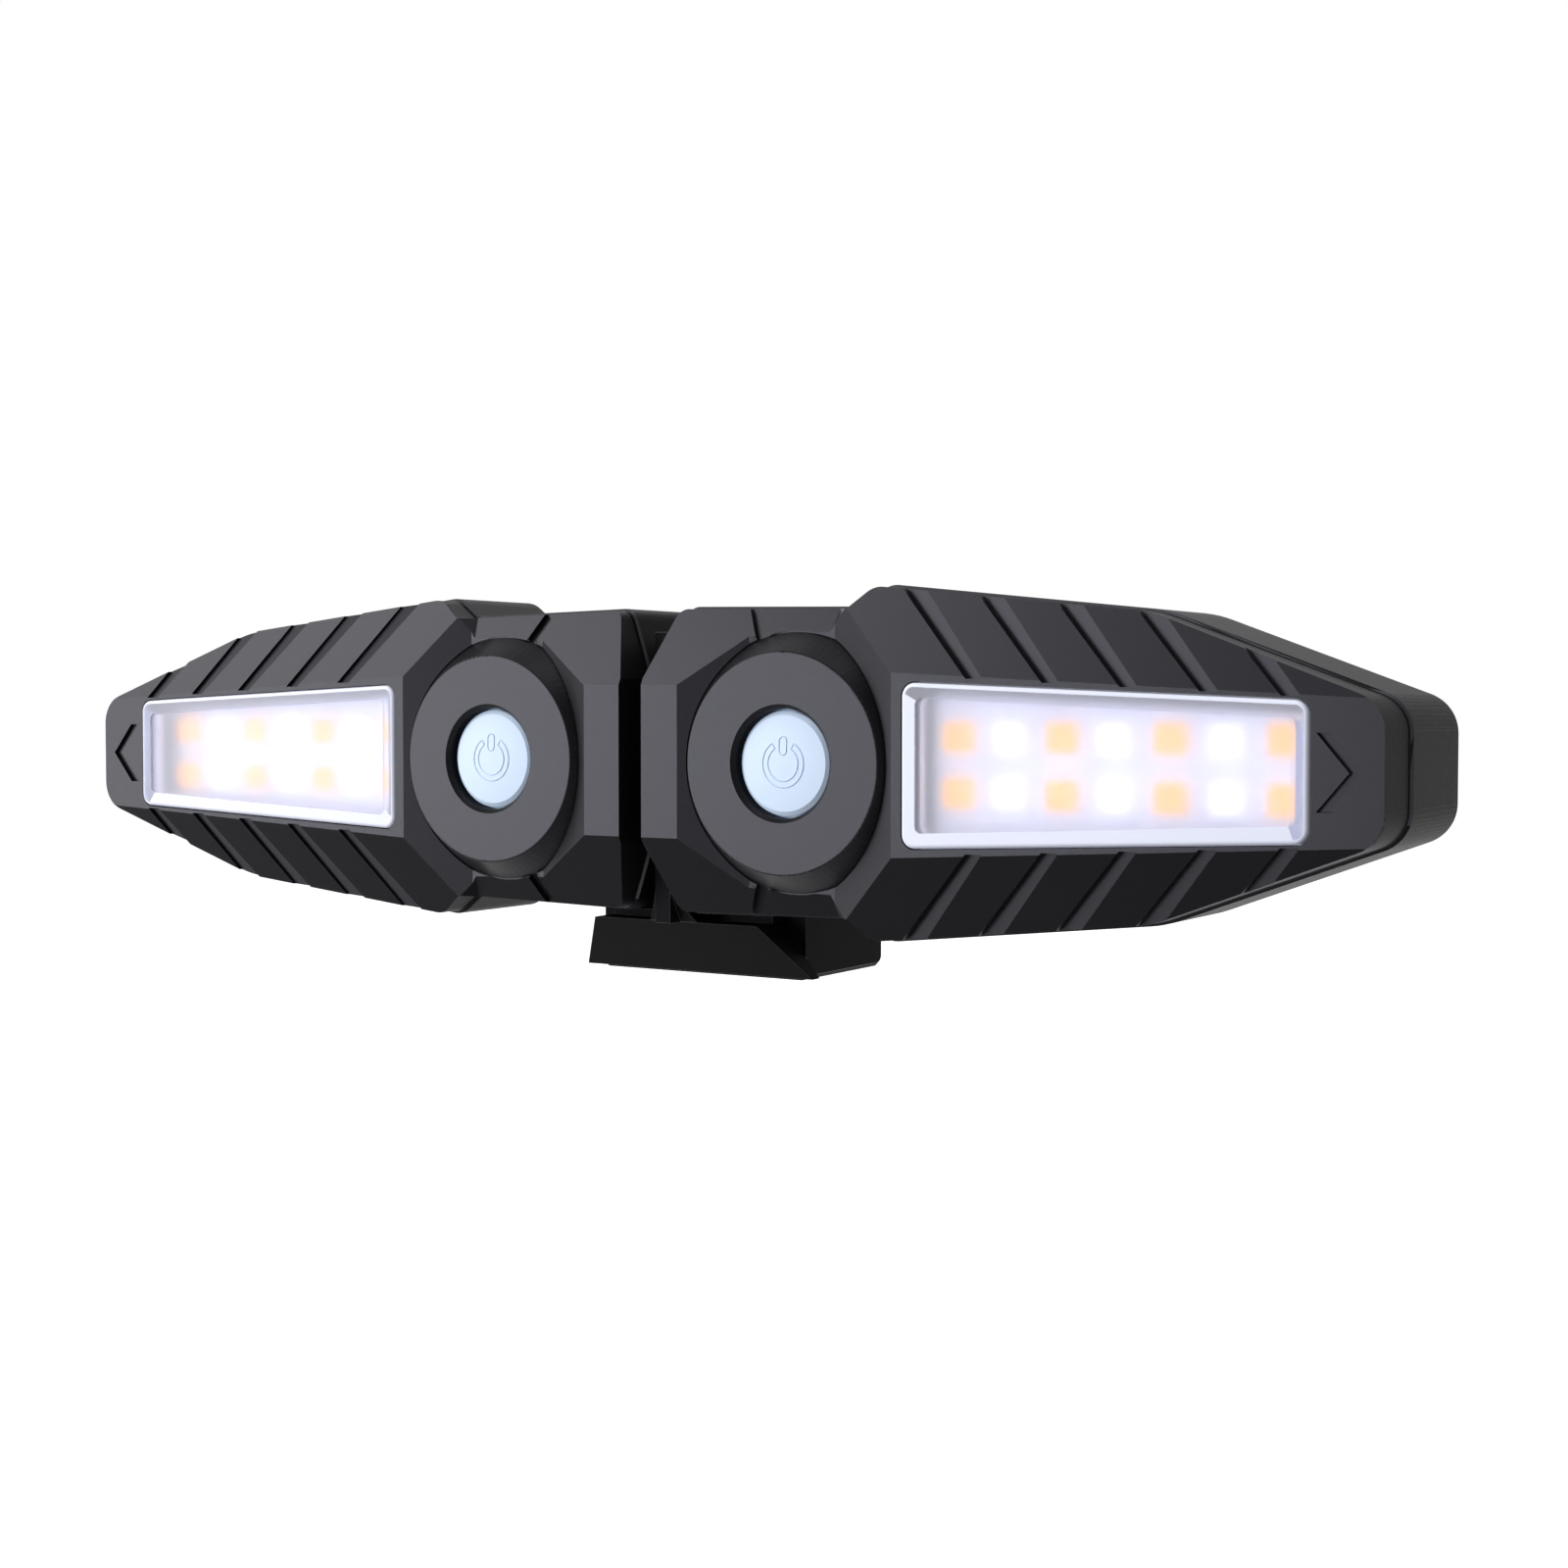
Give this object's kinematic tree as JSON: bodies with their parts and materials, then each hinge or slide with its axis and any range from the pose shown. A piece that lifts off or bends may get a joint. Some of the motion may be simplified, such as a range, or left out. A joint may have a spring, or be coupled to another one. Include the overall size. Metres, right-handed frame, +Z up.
{
  "type": "bicycle turn signal light",
  "caption": "Winged rear turn signal for a bicycle: mirrored faceted lamp halves with frosted lenses and round buttons on a black bracket strapped to the seat post.",
  "frame": {"origin": "on the axis of the seat post that the clamp takes, level with the centres of the two round bezels", "axes": "+X along the lamp to its right tip as seen from behind the bicycle, +Y from the lenses towards the bicycle's front, +Z up the seat post"},
  "size_m": [0.2016, 0.0609, 0.0518],
  "materials": {
    "front_shell": "fine textured injection-moulded ABS, dark grey",
    "rear_shell": "smooth satin ABS, near black",
    "bezel": "satin moulded plastic, mid grey",
    "bracket": "glass-filled nylon, black",
    "lens_plastic": "frosted polycarbonate",
    "button": "translucent light blue cap",
    "plunger": "moulded acetal",
    "led_amber": "moulded resin diode package with amber window",
    "led_white": "moulded resin diode package with white window",
    "board": "glass-epoxy board with white solder mask",
    "component_black": "moulded epoxy and nylon component bodies",
    "cell_wrap": "steel can in shrink wrap",
    "steel": "zinc-plated steel",
    "rubber_black": "black silicone rubber"
  },
  "bodies": {
    "housing": {"mounting_bracket": "bracket", "bracket_screws": "steel", "post_pad": "rubber_black", "post_strap": "rubber_black", "right_front_cover": "front_shell", "right_rear_cover": "rear_shell", "right_cover_gasket": "rubber_black", "right_lens": "lens_plastic", "right_lens_gasket": "rubber_black", "right_led_board": "board", "right_amber_leds": "led_amber", "right_white_leds": "led_white", "right_bezel_ring": "bezel", "right_switch_body": "component_black", "right_control_board": "board", "right_radio_module": "component_black", "right_battery_cell": "cell_wrap", "right_charging_socket": "steel", "right_cover_screws": "steel", "left_front_cover": "front_shell", "left_rear_cover": "rear_shell", "left_cover_gasket": "rubber_black", "left_lens": "lens_plastic", "left_lens_gasket": "rubber_black", "left_led_board": "board", "left_amber_leds": "led_amber", "left_white_leds": "led_white", "left_bezel_ring": "bezel", "left_switch_body": "component_black", "left_control_board": "board", "left_radio_module": "component_black", "left_battery_cell": "cell_wrap", "left_charging_socket": "steel", "left_cover_screws": "steel"},
    "right_button": {"right_power_button": "button", "right_switch_plunger": "plunger"},
    "left_button": {"left_power_button": "button", "left_switch_plunger": "plunger"},
    "right_flap": {"right_port_flap": "rubber_black"},
    "left_flap": {"left_port_flap": "rubber_black"}
  },
  "joints": [
    {"name": "right_button_press", "type": "slide", "parent": "housing", "child": "right_button", "axis": [0, 1, 0], "range_m": [0, 0.0006], "stiffness_N_per_m": 400, "springref_m": -0.001},
    {"name": "left_button_press", "type": "slide", "parent": "housing", "child": "left_button", "axis": [0, 1, 0], "range_m": [0, 0.0006], "stiffness_N_per_m": 400, "springref_m": -0.001},
    {"name": "right_flap_hinge", "type": "hinge", "parent": "housing", "child": "right_flap", "pos_m": [0.0376, -0.0206, 0], "axis": [0, 0, -1], "range_deg": [0, 90]},
    {"name": "left_flap_hinge", "type": "hinge", "parent": "housing", "child": "left_flap", "pos_m": [-0.0376, -0.0206, 0], "axis": [0, 0, 1], "range_deg": [0, 90]}
  ]
}
